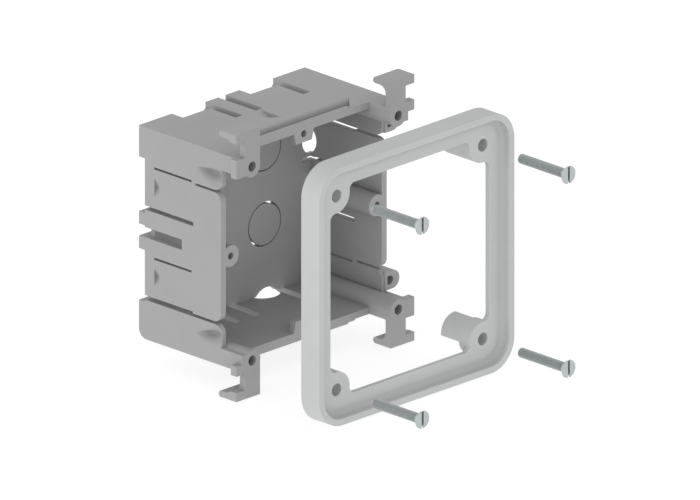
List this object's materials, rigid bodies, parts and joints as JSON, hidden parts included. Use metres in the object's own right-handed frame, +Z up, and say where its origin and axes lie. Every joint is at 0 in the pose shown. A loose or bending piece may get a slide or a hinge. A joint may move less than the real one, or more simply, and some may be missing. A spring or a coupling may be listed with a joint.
{
  "type": "switch box",
  "caption": "Square moulded wall box with corner hooks and break-out panels, with a raised outer frame and countersunk frame screws drawn apart in front.",
  "frame": {"origin": "middle of the box's front edges, halfway between the two side device holes", "axes": "+Y into the wall, +Z up, +X to the right of a person facing the wall"},
  "size_m": [0.08, 0.1124, 0.0824],
  "materials": {
    "box_plastic": "moulded, light grey, fine matt",
    "frame_plastic": "moulded, pale grey, fine matt",
    "screw_steel": "zinc plated, slightly blue"
  },
  "bodies": {
    "box": {"wall_box": "box_plastic"},
    "frame": {"raising_frame": "frame_plastic"},
    "screw_top_right": {"frame_screw_top_right": "screw_steel"},
    "screw_top_left": {"frame_screw_top_left": "screw_steel"},
    "screw_bottom_left": {"frame_screw_bottom_left": "screw_steel"},
    "screw_bottom_right": {"frame_screw_bottom_right": "screw_steel"}
  },
  "joints": [
    {"name": "frame_slide", "type": "slide", "parent": "box", "child": "frame", "axis": [0, 1, 0], "range_m": [0, 0.0227]},
    {"name": "screw_top_right_slide", "type": "slide", "parent": "frame", "child": "screw_top_right", "axis": [0, 1, 0], "range_m": [0, 0.03415]},
    {"name": "screw_top_left_slide", "type": "slide", "parent": "frame", "child": "screw_top_left", "axis": [0, 1, 0], "range_m": [0, 0.03415]},
    {"name": "screw_bottom_left_slide", "type": "slide", "parent": "frame", "child": "screw_bottom_left", "axis": [0, 1, 0], "range_m": [0, 0.03415]},
    {"name": "screw_bottom_right_slide", "type": "slide", "parent": "frame", "child": "screw_bottom_right", "axis": [0, 1, 0], "range_m": [0, 0.03415]}
  ]
}
